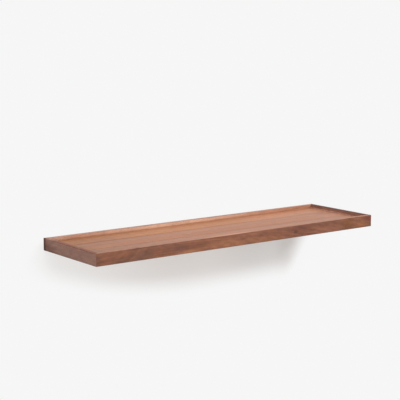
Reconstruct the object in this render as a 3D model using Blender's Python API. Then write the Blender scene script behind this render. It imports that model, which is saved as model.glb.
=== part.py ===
"""Wall shelf: a shallow walnut tray carried on three hidden steel rods.

Metres, +Z up. X runs along the shelf, the front faces -Y and the wall is the plane y = 0.
The origin is the centre of the shelf's back face. The tray is four mitred rails round a
panel of three glued staves. It slides over the rods of a steel plate that is screwed to
the wall and let into the back rail, and two lock screws from below hold it there.
"""

import math

import bmesh
import bpy
from mathutils import Vector

# The wooden tray
SHELF_LENGTH = 0.915
SHELF_DEPTH = 0.250
PANEL_THICKNESS = 0.022
LIP_HEIGHT = 0.010
RAIL_THICKNESS = 0.011
ARRIS = 0.0006
STAVES = ("back_stave", "middle_stave", "front_stave")

# The joints in the wood, each with the space that its glue takes
GLUE_GAP = 0.0003
TONGUE_THICKNESS = 0.004
TONGUE_IN_RAIL = 0.005
TONGUE_IN_PANEL = 0.008
TONGUE_CORNER_MARGIN = 0.025
TONGUE_PLATE_MARGIN = 0.015
KEY_THICKNESS = 0.003
KEY_WIDTH = 0.008
KEY_END_MARGIN = 0.005

# The steel bracket
PLATE_THICKNESS = 0.004
PLATE_LIP = 0.003
PLATE_END_MARGIN = 0.1075
PLATE_CLEARANCE = 0.0003
ROD_RADIUS = 0.006
ROD_TIP_SETBACK = 0.095
ROD_TIP_CHAMFER = 0.001
ROD_END_MARGIN = 0.050
ROD_CLEARANCE = 0.0003
BORE_END_SPACE = 0.003
SPIGOT_RADIUS = 0.0035
METAL_GAP = 0.0003

# The screws into the wall and their plugs
SCREW_LENGTH = 0.050
SCREW_SHANK_RADIUS = 0.0023
SCREW_HEAD_RADIUS = 0.0045
SCREW_HEAD_RIM = 0.0004
SCREW_HEAD_DEPTH = 0.0027
SCREW_TIP_LENGTH = 0.006
SCREW_END_MARGIN = 0.020
SCREW_SOCKET_WIDTH = 0.0036
SCREW_SOCKET_DEPTH = 0.0018
PLUG_LENGTH = 0.040
PLUG_RADIUS = 0.004
PLUG_NOSE_RADIUS = 0.0033
PLUG_NOSE_LENGTH = 0.008
PLUG_SETBACK = 0.003
PLUG_COLLAR = 0.010
PLUG_SLOT_WIDTH = 0.001

# The lock screws and the threaded inserts that they run in
LOCK_WALL_DISTANCE = 0.060
LOCK_RADIUS = 0.0025
LOCK_RECESS = 0.0005
LOCK_TIP_CHAMFER = 0.0005
LOCK_SOCKET_WIDTH = 0.0025
LOCK_SOCKET_DEPTH = 0.0020
INSERT_RADIUS = 0.004

# Drawing choices
ROUND_SIDES = 32
SMALL_SIDES = 24
CUT_PAST = 0.001
WELD_DISTANCE = 0.00001
SMOOTH_ANGLE = math.radians(35)

# Finishes: linear colour, roughness, metallic
WALNUT = ((0.35, 0.165, 0.095), 0.45, 0.0)
BEECH = ((0.62, 0.42, 0.24), 0.6, 0.0)
BLACK_STEEL = ((0.02, 0.02, 0.022), 0.5, 0.0)
ZINC_STEEL = ((0.55, 0.56, 0.58), 0.35, 1.0)
BRASS = ((0.72, 0.52, 0.22), 0.35, 1.0)
NYLON = ((0.42, 0.43, 0.44), 0.55, 0.0)

# Heights and lengths that follow
SHELF_HEIGHT = PANEL_THICKNESS + LIP_HEIGHT
UNDERSIDE = -SHELF_HEIGHT / 2
PANEL_TOP = UNDERSIDE + PANEL_THICKNESS
MID_PANEL = UNDERSIDE + PANEL_THICKNESS / 2
MITRE_SHIFT = GLUE_GAP / math.sqrt(2)
PANEL_SIDE = SHELF_LENGTH / 2 - RAIL_THICKNESS - GLUE_GAP
PANEL_BACK = -RAIL_THICKNESS - GLUE_GAP
PANEL_FRONT = -SHELF_DEPTH + RAIL_THICKNESS + GLUE_GAP
RAIL_BACK_INNER = -RAIL_THICKNESS
RAIL_FRONT_INNER = -SHELF_DEPTH + RAIL_THICKNESS
RAIL_SIDE_INNER = SHELF_LENGTH / 2 - RAIL_THICKNESS
PLATE_END = SHELF_LENGTH / 2 - PLATE_END_MARGIN
PLATE_HALF_HEIGHT = PANEL_THICKNESS / 2 - PLATE_LIP - PLATE_CLEARANCE
ROD_TIP = -SHELF_DEPTH + ROD_TIP_SETBACK
ROD_X = PLATE_END - ROD_END_MARGIN
SCREW_X = PLATE_END - SCREW_END_MARGIN
ROD_UNDERSIDE = MID_PANEL - ROD_RADIUS

# Quarter turns that lay a piece modelled along local +Z down along an axis of the room
FRONTWARDS = (math.radians(90), 0.0, 0.0)
WALLWARDS = (math.radians(-90), 0.0, 0.0)
UPWARDS = (0.0, 0.0, 0.0)


def clear_scene():
    """Start from nothing."""
    for old in list(bpy.data.objects):
        bpy.data.objects.remove(old, do_unlink=True)


def new_object(name, shape):
    """Put a bmesh into the scene as an object whose round faces are shaded smooth."""
    mesh = bpy.data.meshes.new(name)
    bmesh.ops.recalc_face_normals(shape, faces=shape.faces)
    shape.to_mesh(mesh)
    shape.free()
    mesh.shade_smooth()
    mesh.set_sharp_from_angle(angle=SMOOTH_ANGLE)
    made = bpy.data.objects.new(name, mesh)
    bpy.context.scene.collection.objects.link(made)
    return made


def place(made, location, rotation=UPWARDS):
    """Stand an object at its place."""
    made.location = location
    made.rotation_euler = rotation
    return made


def finish(made, finish_values, holder):
    """Give a piece its own material and the empty that it moves with."""
    colour, roughness, metallic = finish_values
    material = bpy.data.materials.new(made.name)
    material.use_nodes = True
    shader = material.node_tree.nodes["Principled BSDF"]
    shader.inputs["Base Color"].default_value = (*colour, 1.0)
    shader.inputs["Roughness"].default_value = roughness
    shader.inputs["Metallic"].default_value = metallic
    made.data.materials.append(material)
    made.parent = holder
    return made


def as_cutter(made):
    """Keep an object out of the model: it only cuts others."""
    made.hide_render = True
    made.display_type = "WIRE"
    return made


def cut(piece, *cutters):
    """Take each cutter's shape out of the piece."""
    for cutter in cutters:
        boolean = piece.modifiers.new(cutter.name, "BOOLEAN")
        boolean.operation = "DIFFERENCE"
        boolean.solver = "EXACT"
        boolean.object = cutter


def holder_empty(name, location=(0.0, 0.0, 0.0)):
    """An empty that stands for one moving body."""
    empty = bpy.data.objects.new(name, None)
    empty.location = location
    bpy.context.scene.collection.objects.link(empty)
    return empty


def block(name, low, high):
    """A box between two corners."""
    low = Vector(low)
    high = Vector(high)
    shape = bmesh.new()
    bmesh.ops.create_cube(shape, size=1.0)
    bmesh.ops.scale(shape, vec=high - low, verts=shape.verts)
    bmesh.ops.translate(shape, vec=(high + low) / 2, verts=shape.verts)
    return new_object(name, shape)


def grown_block(name, low, high, gap):
    """A cutter box that leaves a gap all round the box between two corners."""
    margin = Vector((gap, gap, gap))
    return as_cutter(block(name, Vector(low) - margin, Vector(high) + margin))


def turned(name, profile, sides=ROUND_SIDES):
    """A turned solid about local Z, from a profile of (radius, height) points."""
    shape = bmesh.new()
    points = [shape.verts.new((radius, 0.0, height)) for radius, height in profile]
    lines = [shape.edges.new(pair) for pair in zip(points, points[1:])]
    bmesh.ops.spin(
        shape,
        geom=points + lines,
        cent=(0.0, 0.0, 0.0),
        axis=(0.0, 0.0, 1.0),
        dvec=(0.0, 0.0, 0.0),
        angle=math.tau,
        steps=sides,
        use_merge=True,
    )
    bmesh.ops.remove_doubles(shape, verts=shape.verts, dist=WELD_DISTANCE)
    return new_object(name, shape)


def hexagon_socket(name, width, depth):
    """A cutter for a socket of this width across its flats, open at local z = 0."""
    shape = bmesh.new()
    corner_radius = width / math.sqrt(3)
    bmesh.ops.create_cone(
        shape,
        cap_ends=True,
        segments=6,
        radius1=corner_radius,
        radius2=corner_radius,
        depth=depth + CUT_PAST,
    )
    bmesh.ops.translate(shape, vec=(0.0, 0.0, (depth - CUT_PAST) / 2), verts=shape.verts)
    return as_cutter(new_object(name, shape))


def rail(name, length, location, turn):
    """A rail with a mitre at each end: local X runs along it and local Y into the shelf."""
    outer_end = length / 2 - MITRE_SHIFT
    inner_end = outer_end - RAIL_THICKNESS
    outline = (
        (-outer_end, 0.0),
        (outer_end, 0.0),
        (inner_end, RAIL_THICKNESS),
        (-inner_end, RAIL_THICKNESS),
    )
    shape = bmesh.new()
    low = [shape.verts.new((x, y, UNDERSIDE)) for x, y in outline]
    high = [shape.verts.new((x, y, -UNDERSIDE)) for x, y in outline]
    shape.faces.new(low)
    shape.faces.new(high)
    for near, far in ((0, 1), (1, 2), (2, 3), (3, 0)):
        shape.faces.new((low[near], low[far], high[far], high[near]))
    arris_weight = shape.edges.layers.float.new("bevel_weight_edge")
    for first, second in ((low[0], low[1]), (high[0], high[1]), (high[2], high[3])):
        shape.edges.get((first, second))[arris_weight] = 1.0
    made = place(new_object(name, shape), location, (0.0, 0.0, turn))
    bevel = made.modifiers.new("arris", "BEVEL")
    bevel.limit_method = "WEIGHT"
    bevel.width = ARRIS
    bevel.segments = 2
    return made


def make_rails(shelf):
    """Four mitred rails, which stand above the panel as the tray's lip."""
    mid_depth = -SHELF_DEPTH / 2
    half_length = SHELF_LENGTH / 2
    quarter = math.radians(90)
    rails = {
        "front": rail("front_rail", SHELF_LENGTH, (0.0, -SHELF_DEPTH, 0.0), 0.0),
        "right": rail("right_end_rail", SHELF_DEPTH, (half_length, mid_depth, 0.0), quarter),
        "back": rail("back_rail", SHELF_LENGTH, (0.0, 0.0, 0.0), 2 * quarter),
        "left": rail("left_end_rail", SHELF_DEPTH, (-half_length, mid_depth, 0.0), -quarter),
    }
    for made in rails.values():
        finish(made, WALNUT, shelf)
    return rails


def make_staves(shelf):
    """The panel: solid staves glued edge to edge between the rails."""
    gaps = GLUE_GAP * (len(STAVES) - 1)
    width = (PANEL_BACK - PANEL_FRONT - gaps) / len(STAVES)
    staves = []
    for number, name in enumerate(STAVES):
        back = PANEL_BACK - number * (width + GLUE_GAP)
        low = (-PANEL_SIDE, back - width, UNDERSIDE)
        high = (PANEL_SIDE, back, PANEL_TOP)
        staves.append(finish(block(name, low, high), WALNUT, shelf))
    return staves


def tongue_boxes():
    """Each loose tongue's corners, with the rail that it joins to the panel."""
    low_z = MID_PANEL - TONGUE_THICKNESS / 2
    high_z = MID_PANEL + TONGUE_THICKNESS / 2
    long_end = SHELF_LENGTH / 2 - TONGUE_CORNER_MARGIN
    front_y = RAIL_FRONT_INNER - TONGUE_IN_RAIL
    front_y_inner = RAIL_FRONT_INNER + TONGUE_IN_PANEL
    back_y = RAIL_BACK_INNER + TONGUE_IN_RAIL
    back_y_inner = RAIL_BACK_INNER - TONGUE_IN_PANEL
    side_x = RAIL_SIDE_INNER + TONGUE_IN_RAIL
    side_x_inner = RAIL_SIDE_INNER - TONGUE_IN_PANEL
    short_front = -SHELF_DEPTH + TONGUE_CORNER_MARGIN
    short_back = -TONGUE_CORNER_MARGIN
    past_plate = PLATE_END + TONGUE_PLATE_MARGIN
    return (
        ("front_tongue", "front", (-long_end, front_y, low_z), (long_end, front_y_inner, high_z)),
        ("left_tongue", "left", (-side_x, short_front, low_z), (-side_x_inner, short_back, high_z)),
        ("right_tongue", "right", (side_x_inner, short_front, low_z), (side_x, short_back, high_z)),
        ("back_left_tongue", "back", (-long_end, back_y_inner, low_z), (-past_plate, back_y, high_z)),
        ("back_right_tongue", "back", (past_plate, back_y_inner, low_z), (long_end, back_y, high_z)),
    )


def make_tongues(shelf, rails, staves):
    """Loose tongues in grooves between the rails and the panel."""
    for name, side, low, high in tongue_boxes():
        finish(block(name, low, high), BEECH, shelf)
        groove = grown_block(name + "_groove", low, high, GLUE_GAP)
        cut(rails[side], groove)
        for stave in staves:
            cut(stave, groove)


def make_corner_keys(shelf, rails):
    """An upright key across each mitre."""
    corner_x = SHELF_LENGTH / 2 - RAIL_THICKNESS / 2
    front_y = -SHELF_DEPTH + RAIL_THICKNESS / 2
    back_y = -RAIL_THICKNESS / 2
    half_height = SHELF_HEIGHT / 2 - KEY_END_MARGIN
    half = Vector((KEY_WIDTH / 2, KEY_THICKNESS / 2, half_height))
    margin = Vector((GLUE_GAP, GLUE_GAP, GLUE_GAP))
    corners = (
        ("front_left_key", -corner_x, front_y, 45, ("front", "left")),
        ("front_right_key", corner_x, front_y, 135, ("front", "right")),
        ("back_left_key", -corner_x, back_y, 135, ("back", "left")),
        ("back_right_key", corner_x, back_y, 45, ("back", "right")),
    )
    for name, x, y, mitre_angle, sides in corners:
        across = math.radians(mitre_angle + 90)
        key = place(block(name, -half, half), (x, y, 0.0), (0.0, 0.0, across))
        finish(key, BEECH, shelf)
        slot = as_cutter(block(name + "_slot", -half - margin, half + margin))
        place(slot, key.location, key.rotation_euler)
        for side in sides:
            cut(rails[side], slot)


def make_plate(bracket):
    """The flat bar that lies against the wall, let into the back rail."""
    low = (-PLATE_END, -PLATE_THICKNESS, MID_PANEL - PLATE_HALF_HEIGHT)
    high = (PLATE_END, 0.0, MID_PANEL + PLATE_HALF_HEIGHT)
    return finish(block("wall_plate", low, high), BLACK_STEEL, bracket)


def cut_plate_recess(back_rail):
    """The pocket in the back rail's wall face that the plate lies in."""
    clear = PLATE_CLEARANCE
    low = (-PLATE_END - clear, -PLATE_THICKNESS - clear, MID_PANEL - PLATE_HALF_HEIGHT - clear)
    high = (PLATE_END + clear, CUT_PAST, MID_PANEL + PLATE_HALF_HEIGHT + clear)
    cut(back_rail, as_cutter(block("plate_recess", low, high)))


def make_rods(bracket, plate, back_rail, staves):
    """Three rods, each with a spigot through the plate, in blind bores through the wood."""
    shoulder = PLATE_THICKNESS + METAL_GAP
    reach = -ROD_TIP
    rod_profile = (
        (0.0, METAL_GAP),
        (SPIGOT_RADIUS, METAL_GAP),
        (SPIGOT_RADIUS, shoulder),
        (ROD_RADIUS, shoulder),
        (ROD_RADIUS, reach - ROD_TIP_CHAMFER),
        (ROD_RADIUS - ROD_TIP_CHAMFER, reach),
        (0.0, reach),
    )
    hole_radius = SPIGOT_RADIUS + METAL_GAP
    hole_profile = (
        (0.0, -CUT_PAST),
        (hole_radius, -CUT_PAST),
        (hole_radius, PLATE_THICKNESS + CUT_PAST),
        (0.0, PLATE_THICKNESS + CUT_PAST),
    )
    bore_radius = ROD_RADIUS + ROD_CLEARANCE
    bore_end = reach + BORE_END_SPACE
    bore_profile = (
        (0.0, -CUT_PAST),
        (bore_radius, -CUT_PAST),
        (bore_radius, bore_end),
        (0.0, bore_end),
    )
    for name, x in (("left_rod", -ROD_X), ("middle_rod", 0.0), ("right_rod", ROD_X)):
        at = (x, 0.0, MID_PANEL)
        finish(place(turned(name, rod_profile), at, FRONTWARDS), BLACK_STEEL, bracket)
        hole = place(turned(name + "_hole", hole_profile), at, FRONTWARDS)
        cut(plate, as_cutter(hole))
        bore = as_cutter(place(turned(name + "_bore", bore_profile), at, FRONTWARDS))
        cut(back_rail, bore)
        for stave in staves:
            cut(stave, bore)


def make_wall_fixings(bracket, plate):
    """Countersunk screws through the plate, each in a split plug in the wall."""
    head_top = -PLATE_THICKNESS + METAL_GAP
    screw_profile = (
        (0.0, 0.0),
        (SCREW_HEAD_RADIUS, 0.0),
        (SCREW_HEAD_RADIUS, SCREW_HEAD_RIM),
        (SCREW_SHANK_RADIUS, SCREW_HEAD_DEPTH),
        (SCREW_SHANK_RADIUS, SCREW_LENGTH - SCREW_TIP_LENGTH),
        (0.0, SCREW_LENGTH),
    )
    shank_hole = SCREW_SHANK_RADIUS + METAL_GAP
    head_hole = SCREW_HEAD_RADIUS + METAL_GAP
    countersink_profile = (
        (0.0, -CUT_PAST),
        (head_hole, -CUT_PAST),
        (head_hole, SCREW_HEAD_RIM),
        (shank_hole, SCREW_HEAD_DEPTH),
        (shank_hole, PLATE_THICKNESS + CUT_PAST),
        (0.0, PLATE_THICKNESS + CUT_PAST),
    )
    plug_profile = (
        (shank_hole, 0.0),
        (PLUG_RADIUS, 0.0),
        (PLUG_RADIUS, PLUG_LENGTH - PLUG_NOSE_LENGTH),
        (PLUG_NOSE_RADIUS, PLUG_LENGTH),
        (shank_hole, PLUG_LENGTH),
        (shank_hole, 0.0),
    )
    slot_low = (-PLUG_SLOT_WIDTH / 2, -PLUG_RADIUS - CUT_PAST, PLUG_COLLAR)
    slot_high = (PLUG_SLOT_WIDTH / 2, PLUG_RADIUS + CUT_PAST, PLUG_LENGTH + CUT_PAST)
    places = (-SCREW_X, -ROD_X / 2, ROD_X / 2, SCREW_X)
    for number, x in enumerate(places, start=1):
        screw_at = (x, head_top, MID_PANEL)
        plug_at = (x, PLUG_SETBACK, MID_PANEL)
        screw = turned(f"wall_screw_{number}", screw_profile, SMALL_SIDES)
        finish(place(screw, screw_at, WALLWARDS), ZINC_STEEL, bracket)
        socket = hexagon_socket(f"wall_socket_{number}", SCREW_SOCKET_WIDTH, SCREW_SOCKET_DEPTH)
        cut(screw, place(socket, screw_at, WALLWARDS))
        hole = turned(f"wall_screw_hole_{number}", countersink_profile, SMALL_SIDES)
        cut(plate, as_cutter(place(hole, screw_at, WALLWARDS)))
        plug = turned(f"wall_plug_{number}", plug_profile, SMALL_SIDES)
        finish(place(plug, plug_at, WALLWARDS), NYLON, bracket)
        slot = as_cutter(block(f"wall_plug_slot_{number}", slot_low, slot_high))
        cut(plug, place(slot, plug_at, WALLWARDS))


def make_lock_screws(shelf, staves):
    """A brass insert below each outer rod, with a socket screw that bears on the rod."""
    insert_height = ROD_UNDERSIDE - METAL_GAP - UNDERSIDE
    screw_height = insert_height - LOCK_RECESS
    thread_radius = LOCK_RADIUS + METAL_GAP
    insert_profile = (
        (thread_radius, 0.0),
        (INSERT_RADIUS, 0.0),
        (INSERT_RADIUS, insert_height),
        (thread_radius, insert_height),
        (thread_radius, 0.0),
    )
    hole_radius = INSERT_RADIUS + GLUE_GAP
    hole_profile = (
        (0.0, -CUT_PAST),
        (hole_radius, -CUT_PAST),
        (hole_radius, PANEL_THICKNESS / 2),
        (0.0, PANEL_THICKNESS / 2),
    )
    screw_profile = (
        (0.0, 0.0),
        (LOCK_RADIUS, 0.0),
        (LOCK_RADIUS, screw_height - LOCK_TIP_CHAMFER),
        (LOCK_RADIUS - LOCK_TIP_CHAMFER, screw_height),
        (0.0, screw_height),
    )
    for side, x in (("left", -ROD_X), ("right", ROD_X)):
        insert_at = (x, -LOCK_WALL_DISTANCE, UNDERSIDE)
        screw_at = (x, -LOCK_WALL_DISTANCE, UNDERSIDE + LOCK_RECESS)
        insert = turned(f"{side}_insert", insert_profile, SMALL_SIDES)
        finish(place(insert, insert_at), BRASS, shelf)
        hole = as_cutter(turned(f"{side}_insert_hole", hole_profile, SMALL_SIDES))
        place(hole, insert_at)
        for stave in staves:
            cut(stave, hole)
        axis = holder_empty(f"{side}_lock_axis", screw_at)
        axis.parent = shelf
        screw = turned(f"{side}_lock_screw", screw_profile, SMALL_SIDES)
        finish(screw, ZINC_STEEL, axis)
        socket = hexagon_socket(f"{side}_lock_socket", LOCK_SOCKET_WIDTH, LOCK_SOCKET_DEPTH)
        cut(screw, place(socket, screw_at))


def main():
    """Build the bracket on the wall and the tray that slides on it."""
    clear_scene()
    bracket = holder_empty("bracket_body")
    shelf = holder_empty("shelf_body")
    rails = make_rails(shelf)
    staves = make_staves(shelf)
    make_tongues(shelf, rails, staves)
    make_corner_keys(shelf, rails)
    plate = make_plate(bracket)
    cut_plate_recess(rails["back"])
    make_rods(bracket, plate, rails["back"], staves)
    make_wall_fixings(bracket, plate)
    make_lock_screws(shelf, staves)


main()
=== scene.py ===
import math

import bmesh
import bpy
from mathutils import Matrix, Vector


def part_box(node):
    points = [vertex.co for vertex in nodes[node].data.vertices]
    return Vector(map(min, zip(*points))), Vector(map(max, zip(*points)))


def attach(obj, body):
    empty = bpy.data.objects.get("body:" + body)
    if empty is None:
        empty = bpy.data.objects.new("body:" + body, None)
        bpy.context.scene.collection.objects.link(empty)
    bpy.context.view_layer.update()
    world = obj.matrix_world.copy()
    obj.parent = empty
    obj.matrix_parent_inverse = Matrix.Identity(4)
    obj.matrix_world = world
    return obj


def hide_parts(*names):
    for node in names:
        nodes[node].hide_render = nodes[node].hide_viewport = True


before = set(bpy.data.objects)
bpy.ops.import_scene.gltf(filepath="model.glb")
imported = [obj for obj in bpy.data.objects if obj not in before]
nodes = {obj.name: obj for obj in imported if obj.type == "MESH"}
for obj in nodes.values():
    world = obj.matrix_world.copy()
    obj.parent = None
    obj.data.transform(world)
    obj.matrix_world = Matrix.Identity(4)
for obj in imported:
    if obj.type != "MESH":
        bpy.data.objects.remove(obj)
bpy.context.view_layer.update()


# The wall plate: a flat steel bar, 700 x 15.4 x 4 mm, that is screwed to the wall first.
# It is mild steel, cut to length, drilled for the rods and countersunk for the screws, and
# powder coated black, which leaves the fine pebbled skin of baked powder.
class Wire:
    """One output of a shader node. Sums written on wires add Math nodes to their material."""

    def __init__(self, tree, socket=None):
        self.tree = tree
        self.socket = socket

    def node(self, kind, settings=(), values=()):
        """Add a node: its settings first, then a value or a link for each of its sockets.

        A socket goes by its name, or by its number where several sockets share one name.
        """
        made = self.tree.nodes.new(kind)
        for name, setting in dict(settings).items():
            setattr(made, name, setting)
        for name, value in dict(values).items():
            if isinstance(name, int):
                socket = made.inputs[name]
            else:
                socket = next(s for s in made.inputs if s.name == name and s.enabled)
            if isinstance(value, Wire):
                self.tree.links.new(value.socket, socket)
            else:
                socket.default_value = value
        return made

    def out(self, kind, settings=(), values=(), name=None):
        """Add a node and go on from its first output, or from the one that is named."""
        made = self.node(kind, settings, values)
        shown = [s for s in made.outputs if s.enabled and name in (None, s.name)]
        return Wire(self.tree, shown[0])

    def maths(self, operation, *terms):
        """Add one Math node over wires and numbers."""
        return self.out("ShaderNodeMath", {"operation": operation}, dict(enumerate(terms)))

    def __add__(self, other):
        return self.maths("ADD", self, other)

    __radd__ = __add__

    def __sub__(self, other):
        return self.maths("SUBTRACT", self, other)

    def __rsub__(self, other):
        return self.maths("SUBTRACT", other, self)

    def __mul__(self, other):
        return self.maths("MULTIPLY", self, other)

    __rmul__ = __mul__

    def __truediv__(self, other):
        return self.maths("DIVIDE", self, other)

    def __rtruediv__(self, other):
        return self.maths("DIVIDE", other, self)

    def fade(self, start, end):
        """Nought below start and one above end, with a smooth rise between them."""
        settings = {"interpolation_type": "SMOOTHSTEP"}
        values = {"Value": self, "From Min": start, "From Max": end}
        return self.out("ShaderNodeMapRange", settings, values)

    def colour(self, tone):
        """A plain colour, to mix others into."""
        plain = self.out("ShaderNodeRGB")
        plain.socket.default_value = (*tone, 1.0)
        return plain

    def mixed(self, tone, share):
        """This colour, with a share of another tone."""
        values = {"Factor": share, "A": self, "B": (*tone, 1.0)}
        return self.out("ShaderNodeMix", {"data_type": "RGBA"}, values)

    def point(self, x, y, z):
        """A point made of three wires or numbers."""
        return self.out("ShaderNodeCombineXYZ", {}, {"X": x, "Y": y, "Z": z})

    def split(self):
        """The three numbers that this point is made of."""
        parts = self.node("ShaderNodeSeparateXYZ", {}, {"Vector": self})
        return [Wire(self.tree, socket) for socket in parts.outputs]


def new_material(name, roughness, metallic=0.0, specular=0.5):
    """A material with its plain values set, its shader, and a wire to build on."""
    material = bpy.data.materials.new(name)
    material.use_nodes = True
    shader = material.node_tree.nodes["Principled BSDF"]
    shader.inputs["Roughness"].default_value = roughness
    shader.inputs["Metallic"].default_value = metallic
    shader.inputs["Specular IOR Level"].default_value = specular
    return material, shader, Wire(material.node_tree)


def feed(shader, name, wire):
    """Link a wire to one socket of the shader."""
    wire.tree.links.new(wire.socket, shader.inputs[name])


def emboss(shader, pattern, strength, distance):
    """Raise the surface with a pattern, this strongly and over this distance in metres."""
    values = {"Height": pattern, "Strength": strength, "Distance": distance}
    feed(shader, "Normal", pattern.out("ShaderNodeBump", {}, values))


def object_place(start, scale=(1.0, 1.0, 1.0), turn=(0.0, 0.0, 0.0)):
    """The point on the piece, in metres, turned and stretched for a pattern."""
    place = start.out("ShaderNodeTexCoord", name="Object")
    values = {"Vector": place, "Rotation": turn, "Scale": scale}
    return start.out("ShaderNodeMapping", {"vector_type": "POINT"}, values)


def noise(start, vector, detail, roughness=0.5):
    """Soft noise between nought and one."""
    values = {"Vector": vector, "Scale": 1.0, "Detail": detail, "Roughness": roughness}
    return start.out("ShaderNodeTexNoise", {}, values)


def patches(start, scale, detail):
    """Noise that is fixed to the piece, with about this many patches to a metre each way."""
    return noise(start, object_place(start, scale), detail)


def powder_coat(name, rub):
    """Black powder coat, with a share of grey rubbing where the wood slides over it."""
    material, shader, start = new_material(name, 0.5)
    pebble = patches(start, (1400.0, 1400.0, 1400.0), 2.0)
    cloud = patches(start, (40.0, 40.0, 40.0), 3.0)
    scuff = patches(start, (900.0, 14.0, 900.0), 3.0).fade(0.56, 0.74) * rub
    coat = start.colour((0.021, 0.021, 0.023)).mixed((0.034, 0.034, 0.036), cloud)
    feed(shader, "Base Color", coat.mixed((0.11, 0.11, 0.115), scuff))
    feed(shader, "Roughness", 0.42 + cloud * 0.14 - scuff * 0.12)
    emboss(shader, pebble, 0.35, 0.0002)
    return material


def only(piece):
    """Leave one object selected and active."""
    bpy.ops.object.select_all(action="DESELECT")
    piece.select_set(True)
    bpy.context.view_layer.objects.active = piece


def squared_block(name, low, high):
    """A squared piece between two corners, with its place in its mesh."""
    low = Vector(low)
    high = Vector(high)
    bpy.ops.object.select_all(action="DESELECT")
    bpy.ops.mesh.primitive_cube_add(size=1.0, location=(low + high) / 2)
    piece = bpy.context.object
    piece.name = name
    piece.data.name = name
    piece.scale = high - low
    bpy.ops.object.transform_apply(location=True, rotation=True, scale=True)
    return piece


def pick_edges(piece, wanted):
    """In edit mode, select the edges whose middle and direction are wanted."""
    bpy.ops.mesh.select_mode(type="EDGE")
    bpy.ops.mesh.select_all(action="DESELECT")
    shape = bmesh.from_edit_mesh(piece.data)
    for edge in shape.edges:
        first, second = (vert.co for vert in edge.verts)
        edge.select_set(wanted((first + second) / 2, (second - first).normalized()))
    bmesh.update_edit_mesh(piece.data)


def bore(piece, cutter, operation="DIFFERENCE"):
    """Take the cutter's shape out of the piece, or join it on, and put the cutter away."""
    only(piece)
    hole = piece.modifiers.new("hole", "BOOLEAN")
    hole.operation = operation
    hole.solver = "EXACT"
    hole.object = cutter
    bpy.ops.object.modifier_apply(modifier=hole.name)
    bpy.data.objects.remove(cutter)


def drill(piece, middle, radius, depth, turn=(0.0, 0.0, 0.0)):
    """Bore a round hole, upright unless it is turned, with its middle at a point."""
    bpy.ops.object.select_all(action="DESELECT")
    bpy.ops.mesh.primitive_cylinder_add(
        vertices=HOLE_SIDES, radius=radius, depth=depth, location=middle, rotation=turn
    )
    bore(piece, bpy.context.object)


def turned(name, profile, sides=32):
    """A turned piece about Z: a disc, drawn out from one radius and height to the next."""
    radius, height = profile[0]
    bpy.ops.object.select_all(action="DESELECT")
    bpy.ops.mesh.primitive_circle_add(
        vertices=sides, radius=radius, fill_type="NGON", location=(0.0, 0.0, height)
    )
    piece = bpy.context.object
    piece.name = name
    piece.data.name = name
    bpy.ops.object.transform_apply(location=True, rotation=True, scale=True)
    bpy.ops.object.mode_set(mode="EDIT")
    bpy.ops.mesh.select_all(action="SELECT")
    for next_radius, next_height in profile[1:]:
        rise = {"value": (0.0, 0.0, next_height - height)}
        bpy.ops.mesh.extrude_region_move(TRANSFORM_OT_translate=rise)
        growth = next_radius / radius
        middle = (0.0, 0.0, next_height)
        bpy.ops.transform.resize(value=(growth, growth, 1.0), center_override=middle)
        radius = next_radius
        height = next_height
    bpy.ops.mesh.select_all(action="SELECT")
    bpy.ops.mesh.normals_make_consistent(inside=False)
    bpy.ops.object.mode_set(mode="OBJECT")
    return piece


def set_in_place(piece, at, turn):
    """Turn a piece, move it to its place and keep that in its mesh."""
    piece.rotation_euler = turn
    piece.location = at
    only(piece)
    bpy.ops.object.transform_apply(location=True, rotation=True, scale=True)


def hand_over(piece, node, body):
    """Shade a finished piece and let it take the CAD node's place on its body."""
    only(piece)
    bpy.ops.object.shade_smooth_by_angle(angle=SMOOTHED_BELOW)
    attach(piece, body)
    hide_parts(node)


def span(node, axis):
    """Where a CAD piece starts and ends along one axis, to the micrometre."""
    low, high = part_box(node)
    return round(low[axis], 6), round(high[axis], 6)


def size(node, axis):
    """How large a CAD piece is along one axis."""
    low, high = span(node, axis)
    return round(high - low, 6)


def centre(node, axis):
    """Where the middle of a CAD piece lies along one axis."""
    return round(sum(span(node, axis)) / 2, 6)


X, Y, Z = range(3)
RODS = ("left_rod", "middle_rod", "right_rod")
ROD_PLACES = [centre(rod, X) for rod in RODS]
SCREW_PLACES = [centre(f"wall_screw_{number}", X) for number in (1, 2, 3, 4)]
SCREW_HEAD_TOP = span("wall_screw_1", Y)[0]
MID_PANEL = centre("wall_plate", Z)
PLATE_ROUNDING = 0.0004
SPIGOT_HOLE_RADIUS = 0.0038
HOLE_SIDES = 48
SMOOTHED_BELOW = math.radians(35)
OVERSHOOT = 0.001  # how far a cutter runs out past the face that it opens
COUNTERSINK = (  # radius and depth below the screw's head
    (0.0048, -OVERSHOOT),
    (0.0048, 0.0004),
    (0.0026, 0.0027),
    (0.0026, 0.0050),
)
quarter = math.radians(90)
wallwards = (-quarter, 0.0, 0.0)
plate_low, plate_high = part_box("wall_plate")
plate_bar = squared_block("plate_bar", plate_low, plate_high)
bpy.ops.object.mode_set(mode="EDIT")
pick_edges(plate_bar, lambda middle, way: True)
bpy.ops.mesh.bevel(offset=PLATE_ROUNDING, offset_type="OFFSET", segments=3, affect="EDGES")
bpy.ops.object.mode_set(mode="OBJECT")
drill_length = size("wall_plate", Y) + 2 * OVERSHOOT
for rod_x in ROD_PLACES:
    hole_middle = (rod_x, plate_low.y / 2, MID_PANEL)
    drill(plate_bar, hole_middle, SPIGOT_HOLE_RADIUS, drill_length, wallwards)
for screw_x in SCREW_PLACES:
    countersink = turned("countersink", COUNTERSINK, HOLE_SIDES)
    set_in_place(countersink, (screw_x, SCREW_HEAD_TOP, MID_PANEL), wallwards)
    bore(plate_bar, countersink)
plate_bar.data.materials.append(powder_coat("plate_coat", 0.25))
hand_over(plate_bar, "wall_plate", "bracket")


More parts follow.
